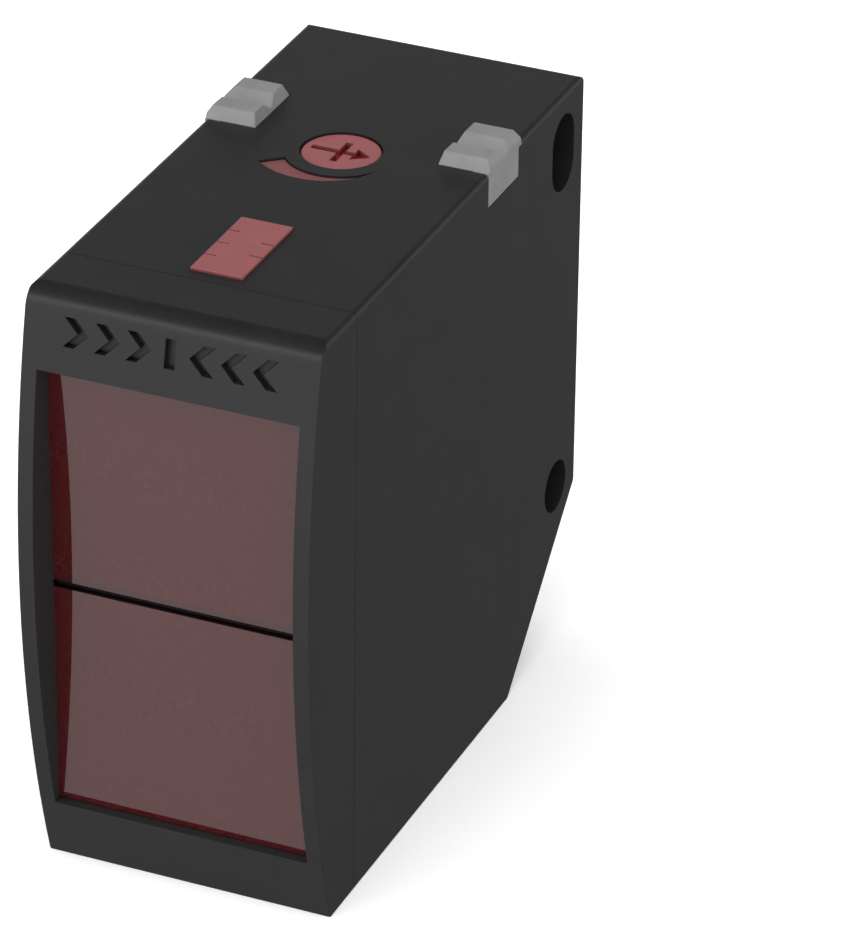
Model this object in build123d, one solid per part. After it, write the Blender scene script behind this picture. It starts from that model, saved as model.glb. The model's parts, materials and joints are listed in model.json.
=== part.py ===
from build123d import *
import os
from math import cos, pi, radians, sin, sqrt

# Photoelectric sensor in a block housing, in millimetres.
# Origin: bottom centre of the bounding box.  -Y is the optical (front) side, +Z is up.
# The outside is mirror symmetric about x = 0, apart from the adjuster's scale and the tick marks.

# ---------------------------------------------------------------- general
TOLERANCE = 0.02             # for picking faces and edges
OVERCUT = 1.0                # how far a cutting tool runs past what it cuts
JOIN = 0.1                   # overlap of two shapes that are fused
CLEAR = 0.1                  # loose clearance round screws, lenses and pegs
SNUG = 0.05                  # close clearance round panes and seals

# ---------------------------------------------------------------- outer block
BODY_WIDTH = 23.0
BODY_DEPTH = 51.0
BODY_HEIGHT = 48.2
WALL = 1.5
REAR_CHAMFER = 13.0          # leg of the 45 degree cut at the bottom rear
BELLY_RADIUS = 94.4          # gentle vertical curve of the front face
BELLY_MID_Z = 27.25
SEAM_Y = -17.3               # joint between front frame and rear housing
SEAM_GAP = 0.06
TOP_FRONT_RADIUS = 1.85
CORNER_RADIUS = 0.6
TOP_EDGE_RADIUS = 0.45       # the two long top edges
FINE_RADIUS = 0.12           # the other edges of the two side faces
FRONT_FOOT_RADIUS = 0.15     # bottom edge of the front face

# ---------------------------------------------------------------- front frame, panes and seals
OPENING_HALF = 10.25         # front opening that shows the panes
OPENING_Z0 = 5.24
OPENING_Z1 = 42.32
PANE_TOP_Y = -22.6           # front of the panes at their top
PANE_LEAN = 0.0127           # how far the panes' front goes back for each mm down
PANE_BACK_Y = -20.78
PANE_HALF = 10.7
PANE_TOP_LAP = 0.45          # how far the panes reach behind the frame's top lip
PANE_EDGE = 0.06
GROOVE_Z = 23.8              # centre of the groove between the panes
GROOVE_HALF = 0.24
GROOVE_DEPTH = 0.38
DIVIDER_GAP = 0.04
DIVIDER_FOOT_HALF = 8.9
DIVIDER_FOOT_HEIGHT = 2.4
FRAME_STEP_Y = -20.2         # back of the frame's front wall
FRAME_SIDE_WALL = 0.75
FRAME_END_WALL = 0.8
FRAME_PILOT_DEPTH = 2.5
GASKET_HALF = 10.6
GASKET_INSET = 0.1
GASKET_SIDE = 1.6
GASKET_END = 1.35

MARK_COUNT = 7               # plain engraved marks above the opening
MARK_PITCH = 2.45
MARK_Z = 45.5
MARK_HEIGHT = 2.2
MARK_WIDTH = 1.95
MARK_STROKE = 0.85
MARK_DEPTH = 0.6

# ---------------------------------------------------------------- rear housing
TONGUE_HALF = 10.7           # tongue of the rear housing inside the front frame
TONGUE_Z0 = 0.85
TONGUE_Z1 = 47.35
TONGUE_END_Y = -19.4
HOLE_RADIUS = 2.15           # cross holes for M4 screws
HOLE_Y = 21.5
LOWER_HOLE_Z = 14.4
UPPER_SLOT_Z = 43.4
SLOT_LENGTH = 6.3
HOLE_WALL = 1.15
POST_RADIUS = 1.75
POST_PILOT_DEPTH = 3.2
MAIN_PILOT_DEPTH = 1.9
LUG_BOSS_INNER_X = 7.6
LUG_BOSS_MARGIN = 1.2

# ---------------------------------------------------------------- top controls
GUIDE_HALF = 2.06            # indicator light guide in the top face
GUIDE_Y0 = -16.01
GUIDE_Y1 = -7.29
GUIDE_GAP = 0.1
GUIDE_PROUD = 0.2
GUIDE_BEVEL = 0.07
GUIDE_FLANGE_HALF = 2.9
GUIDE_FLANGE_MARGIN = 0.6
GUIDE_STEM_HALF = 1.5
GUIDE_LAMP_GAP = 0.9
TICK_WIDTH = 0.14
TICK_DEPTH = 0.1
TICK_LENGTH = 1.0
TICK_PITCH = 2.07
LEFT_TICKS = (-1, 0, 1)
RIGHT_TICKS = (-0.5, 0.5)

KNOB_Y = 5.91                # sensitivity adjuster
KNOB_HOLE_RADIUS = 3.11
KNOB_RADIUS = 3.02
KNOB_TOP_Z = 48.08
KNOB_BEVEL = 0.1
KNOB_FLANGE_RADIUS = 3.8
KNOB_FLANGE_LOW = 1.4        # below the inside of the top wall
KNOB_FLANGE_HIGH = 0.15
KNOB_NECK_RADIUS = 2.45
SEAL_BAND_LOW = 0.05         # above the inside of the top wall
SEAL_BAND_HEIGHT = 0.7
SEAL_RING_RADIUS = 2.75
SEAL_CORD_RADIUS = 0.28
BLADE_HALF_LENGTH = 1.6
BLADE_HALF_WIDTH = 0.4
BLADE_CLEAR = 0.05
ARROW_REACH = 2.42
ARROW_HEAD_BACK = 1.0
ARROW_HEAD_HALF = 0.95
ARROW_SHAFT_HALF = 0.3
CROSS_BAR_HALF_LENGTH = 1.64
CROSS_BAR_HALF_WIDTH = 0.29
ARROW_DEPTH = 0.5
SCALE_INNER_RADIUS = 4.29    # crescent beside the adjuster
SCALE_OUTER_RADIUS = 6.38
SCALE_START = 219.0
SCALE_END = 328.0
SCALE_STEPS = 24
SCALE_TOP_Z = 48.02
SCALE_END_INSETS = (1.0, 4.0)
SCALE_FLANGE = 0.6
SCALE_FLANGE_ANGLE = 6.0
SCALE_FLANGE_HEIGHT = 0.5

POT_HALF = 3.3               # potentiometer under the knob
POT_HEIGHT = 2.3
POT_WELL_RADIUS = 2.4
POT_FLOOR = 0.5
ROTOR_RADIUS = 2.32
ROTOR_LOW = 0.58
ROTOR_HIGH = 2.4
ROTOR_SLOT_LOW = 1.35
BLADE_TIP = 1.4

# ---------------------------------------------------------------- metal lugs
LUG_INNER_X = 7.41
LUG_Y0 = 6.79
LUG_Y1 = 13.0
LUG_TOP_Z = 49.15
LUG_SEAT_Z = 47.9
LUG_SHOULDER = 0.95          # height of the end slopes
LUG_FRONT_SLOPE = 0.5
LUG_REAR_SLOPE = 0.36
LUG_VALLEY_HALF = 1.05
LUG_VALLEY_DEPTH = 0.73
LUG_OUTER_BEVEL = (0.61, 0.37, 0.55)    # depth, width at the front, width at the rear
LUG_INNER_BEVEL = (0.95, 0.25, 0.45)
LUG_EDGE = 0.05
LUG_LEG_Y0 = 6.71
LUG_LEG_Y1 = 12.46
LUG_LEG_Z = 45.5
LUG_LEG_THICKNESS = 1.28
LUG_LEG_LAP = 0.3
LUG_GAP = 0.08
LUG_PEG_RADIUS = 1.0
LUG_PEG_X = 9.0
LUG_PEG_Z = 45.2
LUG_PRESS_GAP = 0.02

# ---------------------------------------------------------------- boards
BOARD_THICKNESS = 1.0
CONTROL_BOARD_Z = 41.6
CONTROL_BOARD_HALF = 9.3
CONTROL_BOARD_Y0 = -15.0
CONTROL_BOARD_Y1 = 16.4
OPTICS_BOARD_Y = -1.6
OPTICS_BOARD_HALF = 9.2
OPTICS_BOARD_Z0 = 4.0
OPTICS_BOARD_Z1 = 40.4
MAIN_BOARD_X = -8.8
MAIN_BOARD_Y0 = 1.2
MAIN_BOARD_Y1 = 17.2
MAIN_BOARD_Z0 = 3.0
MAIN_BOARD_Z1 = 40.4
MAIN_BOARD_CUT = 4.6
LINK_X = -7.35               # pins between the boards
LINK_PITCH = 2.0
LINK_PIN_HALF = 0.2
LINK_HOLE_RADIUS = 0.3
OPTICS_LINK_PINS = 6
OPTICS_LINK_Z = 14.0
OPTICS_PIN_Y = (-1.9, 4.2)
OPTICS_STRIP_Y = (1.4, 3.2)
BOARD_LINK_PINS = 4
BOARD_LINK_Y = 3.5
BOARD_PIN_Z = (37.4, 43.4)
BOARD_STRIP_Z = (38.4, 40.2)
STRIP_HEIGHT = 1.0
STRIP_END = 1.0

CAPACITOR_PLACE = (5.2, 9.0)
CAPACITOR_RADIUS = 2.0
CAPACITOR_LENGTH = 5.4
CAPACITOR_BEAD = (0.9, 1.3, 0.2)
PROCESSOR_BOX = (5.5, 11.5, 20.5, 26.5, 1.0)
TRANSISTOR_ROWS = (28.5, 33.2)
TRANSISTOR_Y = (8.0, 11.5)
TRANSISTOR_SIDE = 3.5
TRANSISTOR_HEIGHT = 1.6
TAB_LENGTH = 1.0
TAB_INSET = 0.7
TAB_HEIGHT = 0.4
RESISTOR_SIZE = (1.6, 0.8, 0.45)
MAIN_RESISTORS = 5
MAIN_RESISTOR_PLACE = (4.4, 28.0)
MAIN_RESISTOR_PITCH = 2.0
CONTROL_RESISTORS = 4
CONTROL_RESISTOR_PLACE = (-5.0, -3.0)
CONTROL_RESISTOR_PITCH = 3.0
LAMP_COUNT = 3
LAMP_HALF = (0.8, 0.4)
LAMP_HEIGHT = 0.7
EMITTER_RADIUS = 1.5
EMITTER_LENGTH = 2.4
EMITTER_FOOT_RADIUS = 1.9
EMITTER_FOOT = 0.4
DIODE_HALF = 2.3
DIODE_HEIGHT = 1.3
DIODE_WINDOW_RADIUS = 1.6
DIODE_WINDOW_DEPTH = 0.2
SHIELD_HALF = 5.8
SHIELD_Z = (26.0, 38.2)
SHIELD_DEPTH = 2.6
SHIELD_SHEET = 0.3
AMPLIFIER_HALF = 2.5
AMPLIFIER_Z = (29.5, 34.5)
AMPLIFIER_HEIGHT = 1.2

# ---------------------------------------------------------------- optics
FLANGE_Y = -18.2             # back of the optics carrier's flange
FLANGE_HALF = 9.9
FLANGE_Z = (1.9, 46.4)
CARRIER_HALF = 9.6
CARRIER_BACK_Y = -2.0
CARRIER_Z0 = 5.4
CARRIER_Z1 = 40.5
CARRIER_BACK_WALL = 1.2
LENS_SEAT = 1.0
RECEIVER_Z = 32.1
EMITTER_Z = 14.5
EMITTER_APERTURE = 2.2
RECEIVER_APERTURE = 2.6
LENS_HALF_WIDTH = 8.3
LENS_HALF_HEIGHT = 7.5
LENS_FRONT_Y = -19.2
LENS_BACK_Y = -14.0
LENS_RADIUS = 16.0
PEG_X = 8.2                  # pegs that place the carrier and the optics board
FRONT_PEG_Z = 3.0
FRONT_PEG_RADIUS = 0.7
FRONT_PEG_LENGTH = 0.9
BOARD_PEG_Z = 23.3
BOARD_PEG_RADIUS = 0.8
PEG_CLEAR = 0.05
PEG_END_GAP = 0.2
BOARD_PEG_PROUD = 0.5

# ---------------------------------------------------------------- plug socket, square to the rear chamfer
SOCKET_RADIUS = 4.15
SOCKET_BOSS_RADIUS = 5.4
SOCKET_BOSS = (0.5, 10.0)    # depths from the chamfer face
SOCKET_DEPTH = 9.0
SOCKET_NECK_RADIUS = 3.3
SLEEVE_BORE = 3.55
SLEEVE = (0.15, 6.4)
SLEEVE_FIT = 0.02
SLEEVE_GROOVE = (1.7, 2.3, 0.2)
SLEEVE_BEVEL = 0.25
INSERT_FIT = 0.05
INSERT_TAIL_RADIUS = 3.2
INSERT_TAIL_END = 10.6
INSERT_GROOVE = (7.4, 8.0, 3.6)
RIB_SIZE = (1.0, 0.6, 5.2)
RIB_OFFSET = 3.2
RIB_DEPTH = 3.9
CONTACT_RADIUS = 0.5
CONTACT_CIRCLE = 2.0
CONTACT_COUNT = 4
CONTACT = (2.0, 12.2)
CONTACT_FIT = 0.01
SOCKET_SEAL = (7.7, 3.87, 0.25)
SOCKET_BOARD_RADIUS = 3.1
SOCKET_BOARD = (10.7, 11.5)
FLEX_WIDTH = 1.6
FLEX_THICKNESS = 0.2
FLEX_START_X = -2.6
FLEX_DEPTH = 11.6
FLEX_TAB_LENGTH = 2.8
FLEX_TAB_DEPTH = 12.9

# ---------------------------------------------------------------- screws
SCREW_RADIUS = 0.8
SCREW_HEAD_RADIUS = 1.5
SCREW_HEAD_HEIGHT = 0.9
SCREW_SLOT_WIDTH = 0.35
SCREW_SLOT_SHARE = 0.6       # half length of the cross slot, as a share of the head's radius
PILOT_CLEARANCE = 0.03
CONTROL_SCREW_LENGTH = 3.9
MAIN_SCREW_LENGTH = 2.8
CARRIER_SCREW_LENGTH = 4.3
CARRIER_SCREW_CLEAR = 0.15
CONTROL_SCREWS = [(-7.6, -12.5), (7.6, -12.5), (-7.6, 15.0), (7.6, 15.0)]
MAIN_SCREWS = [(15.0, 37.0), (14.6, 24.0), (3.6, 4.8)]
CARRIER_SCREWS = [(-8.2, 45.0), (8.2, 45.0)]

# ---------------------------------------------------------------- derived positions
HALF_WIDTH = BODY_WIDTH / 2
FRONT_Y = -BODY_DEPTH / 2
REAR_Y = BODY_DEPTH / 2
BELLY_CENTRE_Y = FRONT_Y + BELLY_RADIUS
INNER_HALF = HALF_WIDTH - WALL
INNER_TOP = BODY_HEIGHT - WALL
INNER_CUT = REAR_CHAMFER + WALL * (sqrt(2) - 1)
PANE_TOP_Z = OPENING_Z1 + PANE_TOP_LAP
GUIDE_TOP_Z = BODY_HEIGHT + GUIDE_PROUD
CONTROL_BOARD_TOP = CONTROL_BOARD_Z + BOARD_THICKNESS
OPTICS_BOARD_BACK = OPTICS_BOARD_Y + BOARD_THICKNESS
MAIN_BOARD_FACE = MAIN_BOARD_X + BOARD_THICKNESS
SEAL_BAND_Z = INNER_TOP + SEAL_BAND_LOW
LUG_MID_Y = (LUG_Y0 + LUG_Y1) / 2
CHAMFER_MID = REAR_CHAMFER / 2
SOCKET_PLANE = Plane(
    origin=(0, REAR_Y - CHAMFER_MID, CHAMFER_MID), x_dir=(1, 0, 0), z_dir=(0, -1, 1)
)


# ---------------------------------------------------------------- helpers
def block(x0, x1, y0, y1, z0, z1):
    """Box between two corners."""
    centre = Pos((x0 + x1) / 2, (y0 + y1) / 2, (z0 + z1) / 2)
    return centre * Box(x1 - x0, y1 - y0, z1 - z0)


def rod_x(y, z, x0, x1, radius):
    """Cylinder along X."""
    return Pos((x0 + x1) / 2, y, z) * Rot(0, 90, 0) * Cylinder(radius, x1 - x0)


def rod_y(x, z, y0, y1, radius):
    """Cylinder along Y."""
    return Pos(x, (y0 + y1) / 2, z) * Rot(90, 0, 0) * Cylinder(radius, y1 - y0)


def rod_z(x, y, z0, z1, radius):
    """Cylinder along Z."""
    return Pos(x, y, (z0 + z1) / 2) * Cylinder(radius, z1 - z0)


def side_prism(points, x0, x1):
    """Outline in the side view (y, z), between two x positions."""
    face = Plane.YZ.offset(x0) * Polygon(*points, align=None)
    return extrude(face, amount=x1 - x0)


def front_prism(points, y0, y1):
    """Outline in the front view (x, z), between two depths."""
    face = Plane.XZ.offset(-y0) * Polygon(*points, align=None)
    return extrude(face, amount=y1 - y0, dir=(0, 1, 0))


def top_prism(points, z0, z1):
    """Outline seen from above (x, y), between two heights."""
    return extrude(Pos(0, 0, z0) * Polygon(*points, align=None), amount=z1 - z0)


def belly(radius):
    """Cylinder across the body whose front follows the bellied face."""
    return rod_x(BELLY_CENTRE_Y, BELLY_MID_Z, -HALF_WIDTH, HALF_WIDTH, radius)


def edges_along(solid, axis, test):
    """Edges parallel to an axis whose centre passes a test."""
    return [edge for edge in solid.edges().filter_by(axis) if test(edge.center())]


def edges_along_circle(solid, z):
    """Circular edges at one height."""
    circles = solid.edges().filter_by(GeomType.CIRCLE)
    return [edge for edge in circles if abs(edge.center().Z - z) < TOLERANCE]


def round_top(solid):
    """The solid with its two long top edges rounded."""
    envelope = block(
        -HALF_WIDTH, HALF_WIDTH, FRONT_Y - OVERCUT, REAR_Y + OVERCUT, -OVERCUT, BODY_HEIGHT
    )
    top = edges_along(envelope, Axis.Y, lambda c: c.Z > 0)
    return solid & fillet(top, TOP_EDGE_RADIUS)


def round_sides(solid):
    """The solid with a fine radius on the edges of its side faces, apart from those at the seam."""
    chosen = []
    for edge in solid.edges():
        box = edge.bounding_box()
        in_side = abs(abs(edge.center().X) - HALF_WIDTH) < TOLERANCE and box.size.X < TOLERANCE
        at_seam = box.size.Y < TOLERANCE and abs(box.min.Y - SEAM_Y) < SEAM_GAP
        if in_side and not at_seam:
            chosen.append(edge)
    return fillet(chosen, FINE_RADIUS)


def slot_rod(radius, x0, x1):
    """Rod across the body with the upright outline of the upper slot, round at both ends."""
    reach = SLOT_LENGTH / 2 - HOLE_RADIUS
    low = UPPER_SLOT_Z - reach
    high = UPPER_SLOT_Z + reach
    ends = rod_x(HOLE_Y, low, x0, x1, radius) + rod_x(HOLE_Y, high, x0, x1, radius)
    return ends + block(x0, x1, HOLE_Y - radius, HOLE_Y + radius, low, high)


def crescent(inner_radius, outer_radius, start, end, z0, z1):
    """Crescent round the adjuster: full width at the start angle, a point at the end angle."""
    inner = []
    outer = []
    for step in range(SCALE_STEPS + 1):
        share = step / SCALE_STEPS
        angle = radians(start + (end - start) * share)
        reach = outer_radius + (inner_radius - outer_radius) * share
        inner.append((inner_radius * cos(angle), KNOB_Y + inner_radius * sin(angle)))
        outer.append((reach * cos(angle), KNOB_Y + reach * sin(angle)))
    outline = Spline(*inner) + Spline(*outer) + Line(inner[0], outer[0])
    return extrude(Pos(0, 0, z0) * make_face(outline), amount=z1 - z0)


def screw(length):
    """Pan head screw along +Z: the head is below z = 0 and the shank above it."""
    body = rod_z(0, 0, -SCREW_HEAD_HEIGHT, 0, SCREW_HEAD_RADIUS)
    body += rod_z(0, 0, -TOLERANCE, length, SCREW_RADIUS)
    body = chamfer(edges_along_circle(body, -SCREW_HEAD_HEIGHT), SCREW_HEAD_HEIGHT / 4)
    reach = SCREW_HEAD_RADIUS * SCREW_SLOT_SHARE
    half = SCREW_SLOT_WIDTH / 2
    slot = block(-reach, reach, -half, half, -SCREW_HEAD_HEIGHT, -SCREW_HEAD_HEIGHT / 2)
    for turn in (0, 90):
        body -= Rot(0, 0, turn) * slot
    return body


# ---------------------------------------------------------------- front frame
def pane_front(z):
    """Depth of the panes' leaning front at one height."""
    return PANE_TOP_Y + PANE_LEAN * (OPENING_Z1 - z)


def pane_wedge(half_width, z0, z1, back):
    """Slab behind the leaning front of the panes."""
    outline = [(pane_front(z0), z0), (back, z0), (back, z1), (pane_front(z1), z1)]
    return side_prism(outline, -half_width, half_width)


def frame_outer():
    """Cap with the bellied face, before its openings."""
    cap = block(-HALF_WIDTH, HALF_WIDTH, FRONT_Y, SEAM_Y - SEAM_GAP / 2, 0, BODY_HEIGHT)
    cap &= belly(BELLY_RADIUS)
    top = edges_along(cap, Axis.X, lambda c: c.Z > BODY_HEIGHT / 2 and c.Y < SEAM_Y - OVERCUT)
    cap = fillet(top, TOP_FRONT_RADIUS)
    foot = edges_along(cap, Axis.X, lambda c: c.Z < TOLERANCE and c.Y < SEAM_Y - OVERCUT)
    cap = fillet(foot, FRONT_FOOT_RADIUS)
    return round_top(round_sides(cap))


def mark_outline(index):
    """One plain mark: chevrons that point to the middle, and a bar between them."""
    middle = MARK_COUNT // 2
    centre = (index - middle) * MARK_PITCH
    low = MARK_Z - MARK_HEIGHT / 2
    high = MARK_Z + MARK_HEIGHT / 2
    if index == middle:
        left = centre - MARK_STROKE / 2
        right = centre + MARK_STROKE / 2
        return [(left, low), (right, low), (right, high), (left, high)]
    point = 1 if index < middle else -1
    back = centre - point * MARK_WIDTH / 2
    tip = centre + point * MARK_WIDTH / 2
    stroke = point * MARK_STROKE
    return [
        (back, low),
        (back + stroke, low),
        (tip, MARK_Z),
        (back + stroke, high),
        (back, high),
        (tip - stroke, MARK_Z),
    ]


def engraved_marks():
    """Cutting tool for the marks: same depth all over below the bellied face."""
    tool = front_prism(mark_outline(0), FRONT_Y - OVERCUT, PANE_TOP_Y)
    for index in range(1, MARK_COUNT):
        tool += front_prism(mark_outline(index), FRONT_Y - OVERCUT, PANE_TOP_Y)
    return tool - belly(BELLY_RADIUS - MARK_DEPTH)


def front_frame():
    """Front cap: opening, pane pocket, cavity for the housing tongue, screw and peg holes."""
    frame = frame_outer()
    frame -= block(
        -OPENING_HALF, OPENING_HALF, FRONT_Y - OVERCUT, SEAM_Y, OPENING_Z0, OPENING_Z1
    )
    frame -= pane_wedge(PANE_HALF + SNUG, OPENING_Z0, PANE_TOP_Z + SNUG, SEAM_Y)
    cavity_half = HALF_WIDTH - FRAME_SIDE_WALL
    cavity_top = BODY_HEIGHT - FRAME_END_WALL
    frame -= block(-cavity_half, cavity_half, FRAME_STEP_Y, SEAM_Y, FRAME_END_WALL, cavity_top)
    pilot = SCREW_RADIUS + PILOT_CLEARANCE
    for x, z in CARRIER_SCREWS:
        frame -= rod_y(x, z, FRAME_STEP_Y - FRAME_PILOT_DEPTH, FRAME_STEP_Y, pilot)
    peg_depth = FRONT_PEG_LENGTH + PEG_END_GAP
    for side in (-1, 1):
        frame -= rod_y(
            side * PEG_X, FRONT_PEG_Z, FRAME_STEP_Y - peg_depth, FRAME_STEP_Y, FRONT_PEG_RADIUS + PEG_CLEAR
        )
    return frame - engraved_marks()


def pane(z0, z1):
    """Flat pane with a leaning front face and softened front edges."""
    solid = pane_wedge(PANE_HALF, z0, z1, PANE_BACK_Y)
    front = solid.faces().sort_by(Axis.Y)[0]
    return chamfer(front.edges(), PANE_EDGE)


def lower_window():
    """Pane in front of the emitter."""
    return pane(OPENING_Z0 + SNUG, GROOVE_Z - GROOVE_HALF)


def upper_window():
    """Pane in front of the receiver."""
    return pane(GROOVE_Z + GROOVE_HALF, PANE_TOP_Z)


def window_divider():
    """T-shaped black bar: its web stands in the groove, its foot lies behind both panes."""
    web_half = GROOVE_HALF - DIVIDER_GAP
    web_front = pane_front(GROOVE_Z) + GROOVE_DEPTH
    half = OPENING_HALF - SNUG
    web = block(-half, half, web_front, PANE_BACK_Y, GROOVE_Z - web_half, GROOVE_Z + web_half)
    foot_low = GROOVE_Z - DIVIDER_FOOT_HEIGHT / 2
    foot_high = GROOVE_Z + DIVIDER_FOOT_HEIGHT / 2
    foot = block(
        -DIVIDER_FOOT_HALF, DIVIDER_FOOT_HALF, PANE_BACK_Y, FRAME_STEP_Y, foot_low, foot_high
    )
    return web + foot


def window_gasket():
    """Flat rubber frame between the panes and the optics carrier."""
    low = OPENING_Z0 + GASKET_INSET
    high = PANE_TOP_Z - SNUG
    outer = block(-GASKET_HALF, GASKET_HALF, PANE_BACK_Y, FRAME_STEP_Y, low, high)
    inner_half = GASKET_HALF - GASKET_SIDE
    return outer - block(
        -inner_half,
        inner_half,
        PANE_BACK_Y - OVERCUT,
        FRAME_STEP_Y + OVERCUT,
        low + GASKET_END,
        high - GASKET_END,
    )


def housing_seal():
    """Rubber ring between the end of the housing tongue and the frame's step."""
    outer = block(-TONGUE_HALF, TONGUE_HALF, FRAME_STEP_Y, TONGUE_END_Y, TONGUE_Z0, TONGUE_Z1)
    inner = block(
        -INNER_HALF, INNER_HALF, FRAME_STEP_Y - OVERCUT, TONGUE_END_Y + OVERCUT, WALL, INNER_TOP
    )
    return outer - inner


# ---------------------------------------------------------------- rear housing
def housing_outer():
    """Block with the rear chamfer and rounded edges."""
    front = SEAM_Y + SEAM_GAP / 2
    outline = [
        (front, 0),
        (REAR_Y - REAR_CHAMFER, 0),
        (REAR_Y, REAR_CHAMFER),
        (REAR_Y, BODY_HEIGHT),
        (front, BODY_HEIGHT),
    ]
    solid = side_prism(outline, -HALF_WIDTH, HALF_WIDTH)
    corners = edges_along(solid, Axis.X, lambda c: c.Y > SEAM_Y + OVERCUT)
    solid = fillet(corners, CORNER_RADIUS)
    return round_top(round_sides(solid))


def housing_cavity():
    """Space inside the walls, open towards the front."""
    front = TONGUE_END_Y - OVERCUT
    outline = [
        (front, WALL),
        (REAR_Y - INNER_CUT, WALL),
        (REAR_Y - WALL, INNER_CUT),
        (REAR_Y - WALL, INNER_TOP),
        (front, INNER_TOP),
    ]
    return side_prism(outline, -INNER_HALF, INNER_HALF)


def housing_bosses():
    """Everything that stands on the inside of the walls."""
    tube = HOLE_RADIUS + HOLE_WALL
    bosses = rod_x(HOLE_Y, LOWER_HOLE_Z, -INNER_HALF, INNER_HALF, tube)
    bosses += slot_rod(tube, -INNER_HALF, INNER_HALF)
    bosses += SOCKET_PLANE * depth_rod(SOCKET_BOSS_RADIUS, *SOCKET_BOSS)
    for x, y in CONTROL_SCREWS:
        bosses += rod_z(x, y, CONTROL_BOARD_TOP, INNER_TOP, POST_RADIUS)
    for y, z in MAIN_SCREWS:
        bosses += rod_x(y, z, -INNER_HALF, MAIN_BOARD_X, POST_RADIUS)
    y0 = LUG_LEG_Y0 - LUG_BOSS_MARGIN
    y1 = LUG_LEG_Y1 + LUG_BOSS_MARGIN
    z0 = LUG_LEG_Z - LUG_BOSS_MARGIN
    for side in (-1, 1):
        x0, x1 = sorted((side * LUG_BOSS_INNER_X, side * INNER_HALF))
        bosses += block(x0, x1, y0, y1, z0, INNER_TOP)
    return bosses


def lug_pocket(side):
    """Recess for one lug in the top edge, its side face and the peg hole."""
    outside = HALF_WIDTH + OVERCUT
    inner = LUG_INNER_X - LUG_GAP
    y0 = LUG_Y0 - LUG_GAP
    y1 = LUG_Y1 + LUG_GAP
    pocket = block(inner, outside, y0, y1, LUG_SEAT_Z, LUG_TOP_Z)
    leg_inner = HALF_WIDTH - LUG_LEG_THICKNESS - LUG_PRESS_GAP
    leg_y0 = LUG_LEG_Y0 - LUG_GAP
    leg_y1 = LUG_LEG_Y1 + LUG_GAP
    pocket += block(leg_inner, outside, leg_y0, leg_y1, LUG_LEG_Z - LUG_GAP, LUG_TOP_Z)
    hole_radius = LUG_PEG_RADIUS + LUG_PRESS_GAP
    pocket += rod_z(LUG_PEG_X, LUG_MID_Y, LUG_PEG_Z - LUG_GAP, LUG_TOP_Z, hole_radius)
    return pocket if side > 0 else mirror(pocket, about=Plane.YZ)


def socket_bore():
    """Stepped bore of the plug socket."""
    main = depth_rod(SOCKET_RADIUS, -OVERCUT, SOCKET_DEPTH)
    neck = depth_rod(SOCKET_NECK_RADIUS, SOCKET_DEPTH - OVERCUT, SOCKET_BOSS[1] + OVERCUT)
    return SOCKET_PLANE * (main + neck)


def top_openings():
    """Cuts in the top wall for the light guide, the adjuster and its scale."""
    below = INNER_TOP - OVERCUT
    above = BODY_HEIGHT + OVERCUT
    half = GUIDE_HALF + GUIDE_GAP
    cuts = block(-half, half, GUIDE_Y0 - GUIDE_GAP, GUIDE_Y1 + GUIDE_GAP, below, above)
    cuts += rod_z(0, KNOB_Y, below, above, KNOB_HOLE_RADIUS)
    scale = crescent(
        SCALE_INNER_RADIUS, SCALE_OUTER_RADIUS, SCALE_START, SCALE_END, below, above
    )
    return cuts + scale


def rear_housing():
    """Shell with its tongue, bosses, cross holes, top cut-outs and plug socket."""
    outer = housing_outer()
    shell = outer + block(
        -TONGUE_HALF, TONGUE_HALF, TONGUE_END_Y, SEAM_Y + OVERCUT, TONGUE_Z0, TONGUE_Z1
    )
    shell -= housing_cavity()
    shell += housing_bosses() & outer
    outside = HALF_WIDTH + OVERCUT
    shell -= rod_x(HOLE_Y, LOWER_HOLE_Z, -outside, outside, HOLE_RADIUS)
    shell -= slot_rod(HOLE_RADIUS, -outside, outside)
    for side in (-1, 1):
        shell -= lug_pocket(side)
    shell -= socket_bore()
    shell -= top_openings()
    pilot = SCREW_RADIUS + PILOT_CLEARANCE
    for x, y in CONTROL_SCREWS:
        shell -= rod_z(x, y, CONTROL_BOARD_TOP, CONTROL_BOARD_TOP + POST_PILOT_DEPTH, pilot)
    for y, z in MAIN_SCREWS:
        shell -= rod_x(y, z, MAIN_BOARD_X - MAIN_PILOT_DEPTH, MAIN_BOARD_X, pilot)
    return shell


# ---------------------------------------------------------------- metal lugs
def lug_side_bevel(edge_x, inward, bevel):
    """Cutting tool for the bevel along one long top edge of a lug; it widens to the rear."""
    depth, front_width, rear_width = bevel
    extra = (rear_width - front_width) / (LUG_Y1 - LUG_Y0) * OVERCUT
    sections = []
    for y, width in ((LUG_Y0 - OVERCUT, front_width - extra), (LUG_Y1 + OVERCUT, rear_width + extra)):
        wedge = [
            (edge_x, LUG_TOP_Z - depth),
            (edge_x, LUG_TOP_Z),
            (edge_x + inward * width, LUG_TOP_Z),
        ]
        sections.append(Plane.XZ.offset(-y) * Polygon(*wedge, align=None))
    return loft(sections)


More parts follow.
